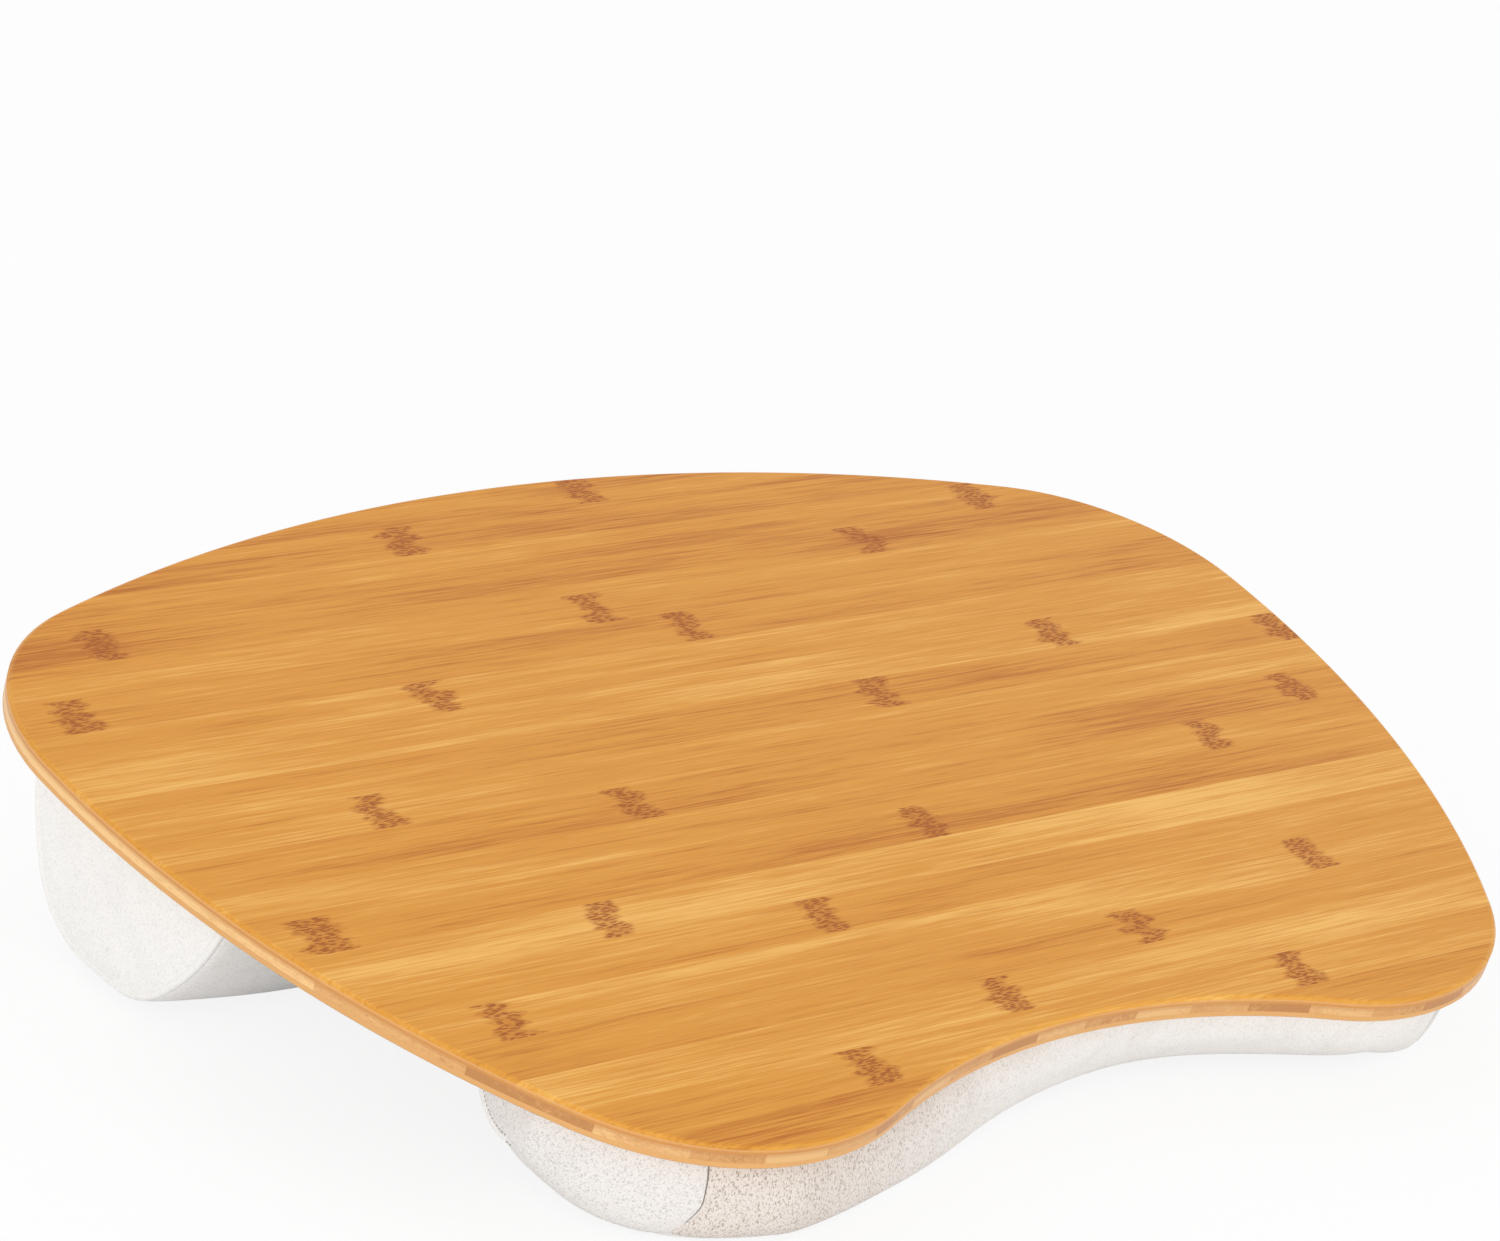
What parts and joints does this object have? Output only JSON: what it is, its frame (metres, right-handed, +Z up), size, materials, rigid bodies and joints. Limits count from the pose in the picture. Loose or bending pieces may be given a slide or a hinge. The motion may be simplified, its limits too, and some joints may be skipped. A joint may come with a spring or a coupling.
{
  "type": "lap tray with cushion",
  "caption": "Laminated bamboo tray board with a waist bay and rounded lobes, bonded to a stuffed cloth cushion with a thick rear and a thin front bolster.",
  "frame": {"origin": "on the floor under the centre of the bounding box, with both bolsters resting on the floor", "axes": "+X to the user's right along the board, +Y away from the user, +Z up; the board slopes down towards the user by 8.3 degrees"},
  "size_m": [0.575, 0.3888, 0.1014],
  "materials": {
    "bamboo_light": "satin lacquer",
    "bamboo_mid": "satin lacquer",
    "bamboo_dark": "satin lacquer",
    "bamboo_core": "satin lacquer, end grain",
    "bamboo_back": "satin lacquer",
    "glue": "matte",
    "base_cloth": "plain weave",
    "cover_cloth": "short nap",
    "end_cloth": "short nap",
    "wall_cloth": "short nap",
    "stuffing": "loose fibre"
  },
  "bodies": {
    "root": {"top_strip_01": "bamboo_mid", "top_strip_02": "bamboo_light", "top_strip_03": "bamboo_mid", "top_strip_04": "bamboo_dark", "top_strip_05": "bamboo_light", "top_strip_06": "bamboo_mid", "top_strip_07": "bamboo_light", "top_strip_08": "bamboo_mid", "top_strip_09": "bamboo_dark", "top_strip_10": "bamboo_light", "top_strip_11": "bamboo_mid", "top_strip_12": "bamboo_light", "top_strip_13": "bamboo_mid", "top_strip_14": "bamboo_dark", "top_strip_15": "bamboo_light", "top_strip_16": "bamboo_mid", "top_strip_17": "bamboo_light", "top_strip_18": "bamboo_mid", "top_strip_19": "bamboo_dark", "top_strip_20": "bamboo_light", "core_ply": "bamboo_core", "back_ply": "bamboo_back", "glue_film": "glue", "base_cloth": "base_cloth", "rear_wrap": "cover_cloth", "rear_end_left": "end_cloth", "rear_end_right": "end_cloth", "rear_stuffing": "stuffing", "front_wrap": "cover_cloth", "front_wall": "wall_cloth", "front_end_left": "end_cloth", "front_end_right": "end_cloth", "front_stuffing": "stuffing"}
  },
  "joints": []
}
